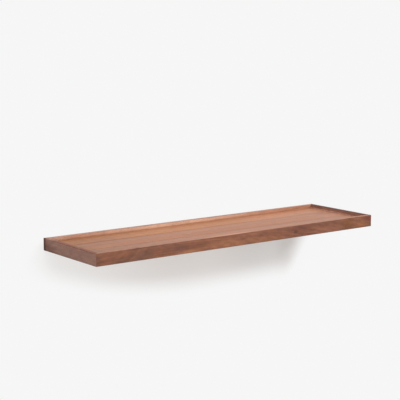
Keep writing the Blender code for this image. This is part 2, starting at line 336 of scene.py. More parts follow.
def dress(node, material):
    """Give a CAD node its finish."""
    nodes[node].data.materials.clear()
    nodes[node].data.materials.append(material)


rod_coat = powder_coat("rod_coat", 0.8)
for rod in RODS:
    dress(rod, rod_coat)


# The wall plugs: split nylon, moulded in light grey, one in each 8 mm hole in the wall.
# Their saw teeth keep them from being pulled out and two small fins keep them from turning,
# while the screws spread their two halves.
def nylon_moulding():
    """Light grey nylon: milky, with a faint cloud in the colour and a soft moulded skin."""
    material, shader, start = new_material("moulded_nylon", 0.5)
    cloud = patches(start, (160.0, 160.0, 160.0), 3.0)
    skin = patches(start, (2600.0, 2600.0, 2600.0), 2.0)
    feed(shader, "Base Color", start.colour((0.40, 0.41, 0.42)).mixed((0.50, 0.51, 0.52), cloud))
    feed(shader, "Roughness", 0.44 + cloud * 0.16)
    emboss(shader, skin, 0.15, 0.0001)
    return material


def spare_copy(pattern, name):
    """Another piece like the pattern, with a mesh of its own."""
    piece = pattern.copy()
    piece.data = pattern.data.copy()
    piece.name = name
    piece.data.name = name
    bpy.context.scene.collection.objects.link(piece)
    return piece


PLUG_LENGTH = size("wall_plug_1", Y)
PLUG_SETBACK = span("wall_plug_1", Y)[0]
PLUG_RADIUS = size("wall_plug_1", X) / 2
PLUG_BORE_RADIUS = 0.0026
TOOTH_ROOT = 0.0035
TOOTH_COUNT = 9
TOOTH_PITCH = 0.0032
TOOTH_STEP = 0.0004
FIRST_TOOTH = 0.0022
FIN_LOW = (-0.0004, -0.0006, 0.0010)
FIN_HIGH = (0.0004, 0.0006, 0.0110)
FIN_TAPER = (0.4, 0.2, 1.0)
FIN_OUT = 0.0041
SPLIT_START = 0.010
SPLIT_HALF_WIDTH = 0.0005
plug_profile = [(0.0038, 0.0), (PLUG_RADIUS, 0.0003), (PLUG_RADIUS, 0.0018)]
for tooth in range(TOOTH_COUNT):
    tooth_start = FIRST_TOOTH + tooth * TOOTH_PITCH
    plug_profile += [(TOOTH_ROOT, tooth_start), (PLUG_RADIUS, tooth_start + TOOTH_STEP)]
plug_profile += [(0.0036, 0.0320), (0.0033, 0.0385), (0.0029, PLUG_LENGTH)]
pattern_plug = turned("pattern_plug", plug_profile, sides=40)
for side in (1.0, -1.0):
    fin = squared_block("fin", FIN_LOW, FIN_HIGH)
    bpy.ops.object.mode_set(mode="EDIT")
    pick_edges(fin, lambda middle, way: middle.z > FIN_HIGH[2] - OVERSHOOT)
    bpy.ops.transform.resize(value=FIN_TAPER)
    bpy.ops.object.mode_set(mode="OBJECT")
    set_in_place(fin, (side * FIN_OUT, 0.0, 0.0), (0.0, 0.0, quarter))
    bore(pattern_plug, fin, "UNION")
drill(pattern_plug, (0.0, 0.0, PLUG_LENGTH / 2), PLUG_BORE_RADIUS, PLUG_LENGTH + 2 * OVERSHOOT)
split_low = (-SPLIT_HALF_WIDTH, -PLUG_RADIUS - OVERSHOOT, SPLIT_START)
split_high = (SPLIT_HALF_WIDTH, PLUG_RADIUS + OVERSHOOT, PLUG_LENGTH + OVERSHOOT)
bore(pattern_plug, squared_block("split", split_low, split_high))
pattern_plug.data.materials.append(nylon_moulding())
for number, screw_x in enumerate(SCREW_PLACES, start=1):
    plug = spare_copy(pattern_plug, f"split_plug_{number}")
    set_in_place(plug, (screw_x, PLUG_SETBACK, MID_PANEL), wallwards)
    hand_over(plug, f"wall_plug_{number}", "bracket")
bpy.data.objects.remove(pattern_plug)


# The wall screws: countersunk steel, 50 mm long and just under 5 mm over their rolled thread,
# with a hexagon socket, zinc plated. One goes through the plate into each plug.
def zinc_plate():
    """Bright zinc: slightly blue, with the fine crystal clouding of the plating bath."""
    material, shader, start = new_material("zinc_plate", 0.34, 1.0)
    bloom = patches(start, (420.0, 420.0, 420.0), 3.0)
    crystals = patches(start, (5200.0, 5200.0, 5200.0), 2.0)
    feed(shader, "Base Color", start.colour((0.50, 0.52, 0.56)).mixed((0.62, 0.63, 0.64), bloom))
    feed(shader, "Roughness", 0.26 + bloom * 0.2)
    emboss(shader, crystals, 0.12, 0.0001)
    return material


WELD = 0.000002
frontwards = (quarter, 0.0, 0.0)
THREAD_STEPS = 24
THREAD_TURN = math.radians(4)
RIDGE_SHARE = 0.40
RUN_OUT_STEPS = 8
RUN_OUT_SHRINK = 0.94


def clean_join(piece):
    """Merge points that all but touch, and take out points that join only two edges."""
    only(piece)
    bpy.ops.object.mode_set(mode="EDIT")
    bpy.ops.mesh.select_all(action="SELECT")
    bpy.ops.mesh.remove_doubles(threshold=WELD)
    bpy.ops.mesh.dissolve_degenerate(threshold=WELD)
    bpy.ops.mesh.select_mode(type="VERT")
    shape = bmesh.from_edit_mesh(piece.data)
    for vert in shape.verts:
        vert.select_set(len(vert.link_edges) == 2)
    bmesh.update_edit_mesh(piece.data)
    bpy.ops.mesh.dissolve_verts()
    bpy.ops.object.mode_set(mode="OBJECT")


def cut_thread(screw, root, crest, pitch, start, turns):
    """Wind a V-shaped ridge round a screw's core, which runs out into it at both ends.

    The ridge starts a little off the core's own edges. RIDGE_SHARE is half its width, as a
    share of the pitch.
    """
    bpy.ops.object.select_all(action="DESELECT")
    bpy.ops.mesh.primitive_circle_add(
        vertices=4, radius=1.0, location=(root, 0.0, start), rotation=frontwards
    )
    ridge = bpy.context.object
    ridge.scale = (crest - root, pitch * RIDGE_SHARE, 1.0)
    bpy.ops.object.transform_apply(location=True, rotation=True, scale=True)
    set_in_place(ridge, (0.0, 0.0, 0.0), (0.0, 0.0, THREAD_TURN))
    winding = ridge.modifiers.new("winding", "SCREW")
    winding.steps = THREAD_STEPS
    winding.render_steps = THREAD_STEPS
    winding.iterations = turns
    winding.screw_offset = pitch
    bpy.ops.object.modifier_apply(modifier=winding.name)
    bpy.ops.object.mode_set(mode="EDIT")
    bpy.ops.mesh.select_all(action="SELECT")
    bpy.ops.mesh.fill_holes(sides=4)
    bpy.ops.mesh.normals_make_consistent(inside=False)
    end = start + turns * pitch
    shrink = (RUN_OUT_SHRINK, RUN_OUT_SHRINK, 1.0)
    for step in range(RUN_OUT_STEPS):
        stretch = pitch * (RUN_OUT_STEPS - step) / RUN_OUT_STEPS - pitch / 2
        pick_edges(ridge, lambda middle, way: min(middle.z - start, end - middle.z) < stretch)
        bpy.ops.transform.resize(value=shrink, center_override=(0.0, 0.0, 0.0))
    bpy.ops.object.mode_set(mode="OBJECT")
    bore(screw, ridge, "UNION")
    clean_join(screw)


def cut_hexagon(screw, width, depth):
    """A hexagon socket in the face at nought, this wide across its flats."""
    bpy.ops.object.select_all(action="DESELECT")
    bpy.ops.mesh.primitive_cylinder_add(
        vertices=6,
        radius=width / math.sqrt(3),
        depth=depth + OVERSHOOT,
        location=(0.0, 0.0, (depth - OVERSHOOT) / 2),
    )
    bore(screw, bpy.context.object)


SCREW_LENGTH = size("wall_screw_1", Y)
SCREW_POINT = 0.006
SCREW_HEAD_RADIUS = size("wall_screw_1", X) / 2
SCREW_SHANK = 0.0021
SCREW_CORE = 0.0017
SCREW_CREST = 0.0023
SCREW_PITCH = 0.0022
SCREW_THREAD_START = 0.0090
SCREW_TURNS = 16
SCREW_SOCKET_WIDTH = 0.0036
SCREW_SOCKET_DEPTH = 0.0018
TURNED_HOME = 0.6  # each screw stops this much further round than the one before, in radians
zinc = zinc_plate()
pattern_screw = turned(
    "pattern_screw",
    (
        (0.0043, 0.0),
        (SCREW_HEAD_RADIUS, 0.0002),
        (SCREW_HEAD_RADIUS, 0.0004),
        (SCREW_SHANK, 0.0027),
        (SCREW_SHANK, 0.0080),
        (SCREW_CORE, 0.0085),
        (SCREW_CORE, SCREW_LENGTH - SCREW_POINT),
        (0.0001, SCREW_LENGTH),
    ),
)
cut_thread(pattern_screw, SCREW_CORE, SCREW_CREST, SCREW_PITCH, SCREW_THREAD_START, SCREW_TURNS)
cut_hexagon(pattern_screw, SCREW_SOCKET_WIDTH, SCREW_SOCKET_DEPTH)
pattern_screw.data.materials.append(zinc)
for number, screw_x in enumerate(SCREW_PLACES, start=1):
    screw = spare_copy(pattern_screw, f"countersunk_screw_{number}")
    set_in_place(screw, (0.0, 0.0, 0.0), (0.0, 0.0, number * TURNED_HOME))
    set_in_place(screw, (screw_x, SCREW_HEAD_TOP, MID_PANEL), wallwards)
    hand_over(screw, f"wall_screw_{number}", "bracket")
bpy.data.objects.remove(pattern_screw)


# The panel: three walnut boards, 22 mm thick, glued edge to edge to make the tray's floor.
# They are sanded and finished with satin oil, their edges just eased, so that the glue lines
# show as fine shadow lines. They are grooved for the tongues and bored from behind.
GAP_AT_RAIL = round(span("right_end_rail", X)[0] - span("back_stave", X)[1], 6)
GAP_AT_SEAM = round(span("back_stave", Y)[0] - span("middle_stave", Y)[1], 6)
EASED_EDGE = 0.0004
GLUE_LINE = 0.00006
ROD_BORE_RADIUS = 0.0063
ROD_BORE_DEPTH = 0.158
INSERT_HOLE_RADIUS = 0.0043
INSERT_HOLE_TOP = -0.005
INSERT_FROM_WALL = -centre("left_insert", Y)
GROOVE_SPACE = 0.0003


def drill_for_rods(board):
    """The three blind bores that come in from the wall side."""
    drilled = ROD_BORE_DEPTH + OVERSHOOT
    for x in ROD_PLACES:
        middle = (x, OVERSHOOT - drilled / 2, MID_PANEL)
        drill(board, middle, ROD_BORE_RADIUS, drilled, frontwards)


def oiled_walnut(
    name,
    tones,
    pith,
    lean=(0.0, 0.0),
    turn=0.0,
    seed=0.0,
    figure=0.0,
    slant=0.0,
    arch=(0.0, 0.0),
    ring_width=0.0046,
    ring_share=0.18,
    painted_left_shade=0.0,
    striping=0.42,
    mottling=0.45,
    gloss=0.3,
    lines=(),
    marks=(),
):
    """Walnut as it grew: rings about a pith line, tone bands, fibres, pores and ripple.

    tones are its light, middle and dark browns. pith is where the tree's heart lies, across
    and in height, and lean how far that moves along a metre. turn is a quarter where the grain
    runs from front to back, and seed picks the board from the log. figure is how strongly
    the grain ripples, and slant how far the ripple fans out from the crown. arch is where
    along the board the grain crowns and how fast it falls from there. ring_width is a year's
    growth and ring_share how dark its late wood is. drift is how much darker the left end is
    painted: painted shade, for the light of the lamp at the right falling off to the left.
    striping and mottling are how much the tone varies along the grain and in small patches,
    and gloss is how much the oil shines. Each line is a dark one that runs the board's whole
    length, such as a glued edge that has drawn in more oil: its place across, half its width
    and its share. Each mark is a patch of another tone: its place along and in height, half
    its length and height, its tone and its share. Most are streaks, clouds and knots in the
    wood; those that are painted light or shade say so where they are given. One that doesn't
    go through the board adds a pair: its place across and half its width.
    """
    light, middle, dark = tones
    material, shader, start = new_material(name, 0.5, specular=gloss)
    along, across, height = object_place(start, turn=(0.0, 0.0, turn)).split()
    from_crown = along - arch[0]
    lifted = height + from_crown * from_crown * arch[1]

    def grain(length, width, shift=0.0, detail=2.0, roughness=0.5):
        """Noise drawn out along the grain: its grains are this long and this wide."""
        place = start.point(along / length + seed + shift, across / width, lifted / width)
        return noise(start, place, detail, roughness)

    sway = (grain(0.55, 0.16) - 0.5) * 0.036
    wobble = (grain(0.11, 0.05, 7.0) - 0.5) * 0.006
    out = across - pith[0] + along * lean[0] + sway + wobble
    down = lifted - pith[1] + along * lean[1] + sway * 0.6
    radius = start.maths("SQRT", out * out + down * down)

    wander = start.out(
        "ShaderNodeTexNoise", {"noise_dimensions": "1D"}, {"W": radius * 90.0 + seed, "Scale": 1.0}
    )
    ring = start.maths("FRACT", radius / ring_width + wander * 2.6)
    late = ring.fade(0.25, 0.92) - ring.fade(0.93, 1.0)

    in_rings = start.point(radius * 75.0 + seed, along * 0.9, across * 6.0)
    bands = noise(start, in_rings, 3.0, 0.55)
    streaks = grain(0.30, 0.0062, 3.0, 3.0, 0.6)
    fibres = grain(0.045, 0.00075, 11.0, 3.0, 0.65)
    pores = grain(0.0065, 0.00032, 19.0, 1.0).fade(0.63, 0.74)
    fanned = along * 48.0 + height * from_crown * slant + seed
    in_ripples = start.point(fanned, across * 9.0, height * 14.0)
    ripple = (noise(start, in_ripples, 1.5) - 0.5) * grain(0.12, 0.05, 29.0).fade(0.35, 0.7)

    tone = start.colour(middle).mixed(light, bands.fade(0.50, 0.78))
    tone = tone.mixed(dark, (0.52 - bands).fade(0.0, 0.34) * 0.75)
    tone = tone.mixed(dark, late * (ring_share + streaks * 0.34))
    tone = tone.mixed(light, (streaks - 0.5).fade(0.05, 0.3) * 0.5)
    for line_across, half_width, line_share in lines:
        line_reach = start.maths("ABSOLUTE", across - line_across) / half_width
        tone = tone.mixed(dark, (1.0 - line_reach.fade(0.2, 1.0)) * line_share)
    for mark_along, mark_height, half_length, half_height, mark_tone, mark_share, *inside in marks:
        beside = (along - mark_along) / half_length
        above = (height - mark_height) / half_height
        reach = start.maths("SQRT", beside * beside + above * above) + (streaks - 0.5) * 0.9
        amount = (1.0 - reach).fade(0.0, 0.75) * mark_share
        for mark_across, half_width in inside:
            deep = start.maths("ABSOLUTE", across - mark_across) / half_width
            amount = amount * (1.0 - deep.fade(0.5, 1.0))
        tone = tone.mixed(mark_tone, amount)
    mottle = grain(0.018, 0.0070, 37.0, 1.5)
    level = 1.0 + (fibres - 0.5) * 0.50 + (streaks - 0.5) * striping + ripple * figure
    level = level + (mottle - 0.5) * mottling
    # Painted shade: each board is painted darker towards its left end, for the light of the lamp at
    # the right falling off to the left.
    level = level - (1.0 - (along + 0.45).fade(0.0, 0.35)) * painted_left_shade
    tone = start.out("ShaderNodeVectorMath", {"operation": "SCALE"}, {"Vector": tone, "Scale": level})
    pore_tone = (dark[0] * 0.45, dark[1] * 0.42, dark[2] * 0.4)
    feed(shader, "Base Color", tone.mixed(pore_tone, pores * 0.70))
    feed(shader, "Roughness", 0.50 + (fibres - 0.5) * 0.16 + pores * 0.18 - late * 0.04)
    emboss(shader, fibres * 0.35 + late * 0.2 - pores * 0.9, 0.30, 0.0002)
    return material


def cut_groove(board, node, opening=0.0):
    """A groove that takes a square CAD piece, with a little space round it.

    An opening carries the groove on towards the wall by that much.
    """
    low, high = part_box(node)
    space = Vector((GROOVE_SPACE, GROOVE_SPACE, GROOVE_SPACE))
    bore(board, squared_block("groove", low - space, high + space + Vector((0.0, opening, 0.0))))


def panel_board(node, name, material, joint_before, joint_after, tongues):
    """One board of the panel, its edges eased, its grooves, bores and insert holes cut.

    The joints are what it gains in front and behind, so that only a glue line stays open.
    """
    low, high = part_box(node)
    low = Vector((low.x - GAP_AT_RAIL, low.y - joint_before, low.z))
    high = Vector((high.x + GAP_AT_RAIL, high.y + joint_after, high.z))
    board = squared_block(name, low, high)
    bpy.ops.object.mode_set(mode="EDIT")
    pick_edges(board, lambda middle, way: abs(way.z) < 0.5)
    bpy.ops.mesh.bevel(offset=EASED_EDGE, offset_type="OFFSET", segments=2, affect="EDGES")
    bpy.ops.object.mode_set(mode="OBJECT")
    for tongue in tongues:
        cut_groove(board, tongue)
    if high.y > -ROD_BORE_DEPTH:
        drill_for_rods(board)
    if low.y < -INSERT_FROM_WALL < high.y:
        for x in (ROD_PLACES[0], ROD_PLACES[2]):
            hole_low = low.z - OVERSHOOT
            middle = (x, -INSERT_FROM_WALL, (hole_low + INSERT_HOLE_TOP) / 2)
            drill(board, middle, INSERT_HOLE_RADIUS, INSERT_HOLE_TOP - hole_low)
    board.data.materials.append(material)
    hand_over(board, node, "shelf")


def seam(front, back):
    """Where two boards meet, from front to back."""
    return round((span(front, Y)[1] + span(back, Y)[0]) / 2, 6)


panel_edge = GAP_AT_RAIL - GLUE_LINE
half_joint = GAP_AT_SEAM / 2 - GLUE_LINE / 2
BACK_SEAM = seam("middle_stave", "back_stave")
FRONT_SEAM = seam("front_stave", "middle_stave")
golden = ((0.455, 0.200, 0.090), (0.388, 0.156, 0.065), (0.25, 0.092, 0.038))
rosy = ((0.42, 0.188, 0.102), (0.352, 0.146, 0.076), (0.235, 0.089, 0.043))
pale = ((0.43, 0.195, 0.113), (0.360, 0.153, 0.083), (0.24, 0.093, 0.048))
panel_board(
    "back_stave",
    "back_panel_board",
    oiled_walnut(
        "walnut_back_board",
        golden,
        (0.03, -0.11),
        (0.02, 0.0),
        seed=3.1,
        figure=0.22,
        ring_share=0.26,
        painted_left_shade=0.25,
        lines=((BACK_SEAM, 0.0060, 0.9),),  # across, half width, share
        marks=(  # along, height, half length, half height, tone, share, (across, half width)
            (0.360, 0.006, 0.330, 0.030, (0.430, 0.190, 0.106), 0.5),
            (0.280, 0.006, 0.140, 0.030, (0.530, 0.200, 0.088), 0.28, (-0.038, 0.024)),
            (0.370, 0.006, 0.130, 0.030, (0.310, 0.145, 0.090), 0.5, (-0.073, 0.022)),
            (-0.320, 0.006, 0.070, 0.030, (0.290, 0.130, 0.072), 0.5, (-0.072, 0.022)),
        ),
    ),
    half_joint,
    panel_edge,
    ("left_tongue", "right_tongue", "back_left_tongue", "back_right_tongue"),
)
panel_board(
    "middle_stave",
    "middle_panel_board",
    oiled_walnut(
        "walnut_middle_board",
        rosy,
        (-0.15, -0.09),
        (-0.03, 0.01),
        seed=8.7,
        figure=0.2,
        ring_share=0.26,
        painted_left_shade=0.21,
        lines=((BACK_SEAM, 0.0050, 0.9), (-0.120, 0.006, 0.3), (FRONT_SEAM, 0.0035, 0.8)),
        marks=(
            (-0.420, 0.006, 0.120, 0.030, (0.325, 0.135, 0.064), 0.5),
            (0.430, 0.006, 0.120, 0.030, (0.390, 0.178, 0.110), 0.5),
            (0.410, 0.006, 0.070, 0.030, (0.270, 0.112, 0.060), 0.4, (-0.104, 0.024)),
            (-0.370, 0.006, 0.110, 0.030, (0.450, 0.210, 0.120), 0.4, (-0.144, 0.024)),
        ),
    ),
    half_joint,
    half_joint,
    ("left_tongue", "right_tongue"),
)
panel_board(
    "front_stave",
    "front_panel_board",
    oiled_walnut(
        "walnut_front_board",
        pale,
        (-0.22, -0.14),
        (0.03, 0.02),
        seed=14.2,
        figure=0.2,
        ring_share=0.26,
        painted_left_shade=0.2,
        lines=((FRONT_SEAM, 0.0030, 0.7), (-0.171, 0.007, 0.35)),
        marks=(
            (-0.420, 0.006, 0.140, 0.030, (0.325, 0.135, 0.064), 0.6),
            (0.430, 0.006, 0.120, 0.030, (0.370, 0.172, 0.106), 0.5),
        ),
    ),
    panel_edge,
    half_joint,
    ("front_tongue", "left_tongue", "right_tongue"),
)


# The tongues: loose strips of beech, 4 mm thick, glued into grooves between the panel and
# the rails. They are planed and left bare, and none of them shows once the tray is glued.
def bare_beech():
    """Beech: pale, with short darker flecks along the grain and no finish on it."""
    material, shader, start = new_material("bare_beech", 0.65, specular=0.3)
    flecks = patches(start, (260.0, 2100.0, 2100.0), 2.0).fade(0.55, 0.72)
    cloud = patches(start, (14.0, 60.0, 60.0), 3.0)
    wood = start.colour((0.60, 0.41, 0.24)).mixed((0.69, 0.50, 0.32), cloud)
    feed(shader, "Base Color", wood.mixed((0.42, 0.25, 0.13), flecks * 0.55))
    feed(shader, "Roughness", 0.62 + cloud * 0.1)
    emboss(shader, flecks, 0.2, 0.0001)
    return material


beech = bare_beech()
TONGUES = ("front_tongue", "left_tongue", "right_tongue", "back_left_tongue", "back_right_tongue")
for tongue in TONGUES:
    dress(tongue, beech)


# The rails: four walnut strips, 11 x 32 mm, mitred at the corners and glued round the panel,
# so that their upper 10 mm stand as the tray's lip. Their long edges are rounded with
# sandpaper, and the back one is let in at the wall side for the plate.
ARRIS = 0.0007
CORNER_EASING = 0.0004
MITRE_LINE = 0.00003
KEY_WIDTH = 0.008
KEY_THICKNESS = 0.003
RAIL_THICKNESS = size("back_rail", Y)
RAIL_TOP = span("back_rail", Z)[1]
HALF_LENGTH = span("right_end_rail", X)[1]
SHELF_DEPTH = -span("front_rail", Y)[0]
NEAR = 0.001
NEARLY_ALONG = 0.9


def corner_way(corner):
    """The level way out of the tray at a corner: one step along it and one across it."""
    backwards = math.copysign(1.0, corner.y + SHELF_DEPTH / 2)
    return Vector((math.copysign(1.0, corner.x), backwards, 0.0))


def saw_off(place, way):
    """In edit mode, take off all that lies beyond a plane, and close the cut."""
    bpy.ops.mesh.select_all(action="SELECT")
    bpy.ops.mesh.bisect(plane_co=place, plane_no=way, clear_outer=True, use_fill=True)


def cut_key_slot(board, corner):
    """The upright slot for a key, which lies across the mitre at this corner."""
    out = corner_way(corner)
    x = out.x * (HALF_LENGTH - RAIL_THICKNESS / 2)
    y = -RAIL_THICKNESS / 2 if out.y > 0 else -SHELF_DEPTH + RAIL_THICKNESS / 2
    low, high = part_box("front_left_key")
    half_height = (high.z - low.z) / 2 + GROOVE_SPACE
    half = Vector((KEY_WIDTH / 2 + GROOVE_SPACE, KEY_THICKNESS / 2 + GROOVE_SPACE, half_height))
    slot = squared_block("slot", -half, half)
    set_in_place(slot, (x, y, 0.0), (0.0, 0.0, -out.x * out.y * quarter / 2))
    bore(board, slot)


def rail_board(node, name, material, corners, tongues):
    """One rail between two corners of the tray, mitred, grooved and with its arrises rounded."""
    low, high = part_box(node)
    if high.x - low.x > high.y - low.y:
        low.x = -HALF_LENGTH
        high.x = HALF_LENGTH
    else:
        low.y = -SHELF_DEPTH
        high.y = 0.0
    board = squared_block(name, low, high)
    side_way = (corner_way(corners[0]) + corner_way(corners[1])) / 2
    bpy.ops.object.mode_set(mode="EDIT")
    for corner in corners:
        end_way = corner_way(corner) - side_way
        mitre = (end_way - side_way).normalized()
        saw_off(corner - mitre * MITRE_LINE, mitre)

    def is_arris(middle, way):
        """The two long outer edges and the long inner edge at the top."""
        along = abs(way.dot(end_way)) > NEARLY_ALONG
        from_outside = abs((middle - corners[0]).dot(side_way))
        return along and (from_outside < NEAR or middle.z > RAIL_TOP - NEAR)

    pick_edges(board, is_arris)
    bpy.ops.mesh.bevel(offset=ARRIS, offset_type="OFFSET", segments=4, affect="EDGES")
    for corner in corners:
        way = corner_way(corner).normalized()
        saw_off(corner - way * CORNER_EASING, way)
    bpy.ops.object.mode_set(mode="OBJECT")
    for tongue in tongues:
        cut_groove(board, tongue)
    for corner in corners:
        cut_key_slot(board, corner)
    if node == "back_rail":
        cut_groove(board, "wall_plate", OVERSHOOT)
        drill_for_rods(board)
    board.data.materials.append(material)
    hand_over(board, node, "shelf")


front_left = Vector((-HALF_LENGTH, -SHELF_DEPTH, 0.0))
front_right = Vector((HALF_LENGTH, -SHELF_DEPTH, 0.0))
back_left = Vector((-HALF_LENGTH, 0.0, 0.0))
back_right = Vector((HALF_LENGTH, 0.0, 0.0))
umber = ((0.30, 0.120, 0.062), (0.238, 0.089, 0.046), (0.145, 0.052, 0.028))
greyed = ((0.33, 0.179, 0.136), (0.270, 0.140, 0.106), (0.176, 0.088, 0.065))
chestnut = ((0.346, 0.168, 0.117), (0.278, 0.130, 0.090), (0.178, 0.079, 0.054))
amber = ((0.46, 0.215, 0.128), (0.38, 0.170, 0.100), (0.27, 0.110, 0.060))
rail_board(
    "front_rail",
    "front_rail_board",
    oiled_walnut(
        "walnut_front_rail",
        umber,
        (-0.245, -0.12),
        (0.03, 0.0),
        seed=21.4,
        figure=1.1,
        slant=400.0,
        arch=(-0.22, 0.2),
        ring_width=0.0072,
        ring_share=0.35,
        mottling=0.6,
        marks=(  # along, height, half length, half height, tone, share
            (-0.458, -0.002, 0.024, 0.040, (0.160, 0.063, 0.037), 0.8),
            (-0.375, -0.012, 0.075, 0.014, (0.165, 0.069, 0.040), 0.9),
            (-0.320, -0.004, 0.050, 0.020, (0.170, 0.073, 0.045), 0.8),
            (-0.250, 0.012, 0.090, 0.006, (0.165, 0.064, 0.040), 0.7),
            (-0.410, 0.010, 0.040, 0.010, (0.180, 0.068, 0.034), 0.7),
            (-0.180, -0.012, 0.050, 0.006, (0.37, 0.150, 0.064), 0.8),
            (-0.212, -0.001, 0.040, 0.010, (0.155, 0.059, 0.040), 0.85),
            (-0.060, -0.006, 0.120, 0.013, (0.36, 0.144, 0.068), 0.6),
            (0.020, 0.010, 0.060, 0.006, (0.29, 0.118, 0.062), 0.5),
            (0.050, -0.010, 0.120, 0.010, (0.30, 0.120, 0.057), 0.7),
            (-0.018, 0.001, 0.024, 0.005, (0.190, 0.074, 0.046), 0.6),
            (0.172, -0.002, 0.009, 0.005, (0.105, 0.038, 0.026), 0.85),
            (0.192, 0.009, 0.060, 0.010, (0.130, 0.043, 0.028), 0.85),
            (0.290, -0.006, 0.075, 0.014, (0.29, 0.112, 0.063), 0.7),
            (0.368, 0.006, 0.034, 0.024, (0.190, 0.067, 0.022), 0.9),
            (0.415, -0.006, 0.032, 0.016, (0.28, 0.100, 0.042), 0.8),
            (0.458, 0.010, 0.045, 0.014, (0.155, 0.040, 0.022), 0.9),
            # The marks at the top are painted light and shade: the top face is painted paler, as if
            # lit from above, with a painted highlight near the middle and less of that paler top at
            # the left, and the two dark strips under the top edge are painted shade on the rounded
            # arris.
            (0.050, RAIL_TOP, 1.000, 0.0006, (0.315, 0.136, 0.082), 1.0),
            (-0.330, RAIL_TOP - 0.0016, 0.120, 0.0018, (0.12, 0.046, 0.027), 0.9),
            (0.330, RAIL_TOP - 0.0015, 0.090, 0.0015, (0.13, 0.046, 0.029), 0.7),
            (-0.050, RAIL_TOP, 0.110, 0.0008, (0.46, 0.212, 0.130), 0.9),
            (-0.310, RAIL_TOP, 0.140, 0.0008, (0.265, 0.112, 0.066), 0.9),
        ),
    ),
    (front_left, front_right),
    ("front_tongue",),
)
rail_board(
    "back_rail",
    "back_rail_board",
    oiled_walnut(
        "walnut_back_rail",
        amber,
        (0.12, -0.05),
        (0.02, -0.02),
        seed=27.9,
        figure=0.2,
        marks=(
            # The first two marks are a pale band along the upper part of the rail, over the lip's
            # inner face: partly paler sapwood, partly painted light, the light that the lit panel
            # throws onto the lip. The last mark is painted shade along the top and its rear arris.
            (-0.050, RAIL_TOP - 0.0035, 0.480, 0.0088, (0.60, 0.362, 0.250), 1.0),
            (-0.440, RAIL_TOP - 0.0035, 0.100, 0.0088, (0.50, 0.325, 0.245), 0.6),
            (-0.100, RAIL_TOP, 0.900, 0.0014, (0.32, 0.178, 0.130), 1.0),
        ),
    ),
    (back_left, back_right),
    ("back_left_tongue", "back_right_tongue"),
)
rail_board(
    "left_end_rail",
    "left_rail_board",
    oiled_walnut(
        "walnut_left_rail",
        greyed,
        (0.38, -0.06),
        (0.0, 0.05),
        turn=quarter,
        seed=33.3,
        figure=0.2,
        ring_share=0.08,
        striping=0.2,
        mottling=0.6,
        gloss=0.12,
        marks=(
            (0.235, -0.004, 0.045, 0.020, (0.29, 0.155, 0.106), 0.5),
            (0.125, RAIL_TOP, 0.400, 0.0024, (0.185, 0.068, 0.038), 1.0),
            (0.010, RAIL_TOP, 0.050, 0.0040, (0.290, 0.160, 0.115), 0.9),
            # The last two marks are painted shade at the back end, where the rail meets the wall: a
            # dark cloud over its last few centimetres and a near-black strip at the very end.
            (0.000, -0.010, 0.080, 0.030, (0.132, 0.056, 0.038), 0.8),
            (0.002, 0.000, 0.014, 0.080, (0.050, 0.016, 0.009), 0.9),
        ),
    ),
    (front_left, back_left),
    ("left_tongue",),
)
rail_board(
    "right_end_rail",
    "right_rail_board",
    oiled_walnut(
        "walnut_right_rail",
        chestnut,
        (-0.38, 0.05),
        (0.0, 0.05),
        turn=quarter,
        seed=41.6,
        figure=0.2,
        gloss=0.12,
        marks=(
            # Both marks are painted: the dark strip along the top is painted shade over the top edge
            # and the shaded inner face below it, and the pale strip low on the inner face is painted
            # light, the light that the lit panel throws onto the foot of the lip.
            (0.125, RAIL_TOP, 0.400, 0.0022, (0.110, 0.038, 0.026), 1.0),
            (0.095, 0.0055, 0.180, 0.0042, (0.59, 0.335, 0.262), 0.9, (0.4465, 0.004)),
        ),
    ),
    (front_right, back_right),
    ("right_tongue",),
)


# The corner keys: upright slips of beech, glued across each mitre to hold it.
# They end below the top of the rails and above their underside, so none of them shows.
for corner in ("front_left", "front_right", "back_left", "back_right"):
    dress(corner + "_key", beech)


# The inserts: turned brass sleeves with a thread inside, pressed into the underside of the
# panel below the two outer rods.
def turned_brass():
    """Brass as it comes off the lathe, with fine turning marks and a little tarnish."""
    material, shader, start = new_material("turned_brass", 0.34, 1.0)
    tarnish = patches(start, (300.0, 300.0, 300.0), 3.0)
    turning = patches(start, (300.0, 300.0, 9000.0), 1.0)
    yellow = start.colour((0.68, 0.48, 0.20))
    feed(shader, "Base Color", yellow.mixed((0.52, 0.35, 0.14), tarnish.fade(0.4, 0.8)))
    feed(shader, "Roughness", 0.28 + tarnish * 0.22)
    emboss(shader, turning, 0.15, 0.0001)
    return material


brass = turned_brass()
for insert in ("left_insert", "right_insert"):
    dress(insert, brass)


# The lock screws: two short socket screws, 5 mm thick and zinc plated, that are turned up
# through the inserts until they bear on the rods and keep the tray on the wall.
LOCK_LENGTH = size("left_lock_screw", Z)
LOCK_LOW = span("left_lock_screw", Z)[0]
LOCK_CREST = size("left_lock_screw", X) / 2
LOCK_CORE = 0.0021
LOCK_PITCH = 0.0008
LOCK_THREAD_START = 0.0005
LOCK_TURNS = 4
LOCK_SOCKET_WIDTH = 0.0025
LOCK_SOCKET_DEPTH = 0.0020
LOCK_TURN = 0.3  # in radians for each metre that it sits from the middle
pattern_lock = turned(
    "pattern_lock",
    (
        (0.0019, 0.0),
        (LOCK_CORE, 0.0002),
        (LOCK_CORE, LOCK_LENGTH - 0.0004),
        (0.0017, LOCK_LENGTH),
    ),
)
cut_thread(pattern_lock, LOCK_CORE, LOCK_CREST, LOCK_PITCH, LOCK_THREAD_START, LOCK_TURNS)
cut_hexagon(pattern_lock, LOCK_SOCKET_WIDTH, LOCK_SOCKET_DEPTH)
pattern_lock.data.materials.append(zinc)
for side, lock_x in (("left", ROD_PLACES[0]), ("right", ROD_PLACES[2])):
    lock = spare_copy(pattern_lock, f"{side}_socket_screw")
    set_in_place(lock, (lock_x, -INSERT_FROM_WALL, LOCK_LOW), (0.0, 0.0, LOCK_TURN * lock_x))
    hand_over(lock, f"{side}_lock_screw", f"{side}_lock")
bpy.data.objects.remove(pattern_lock)


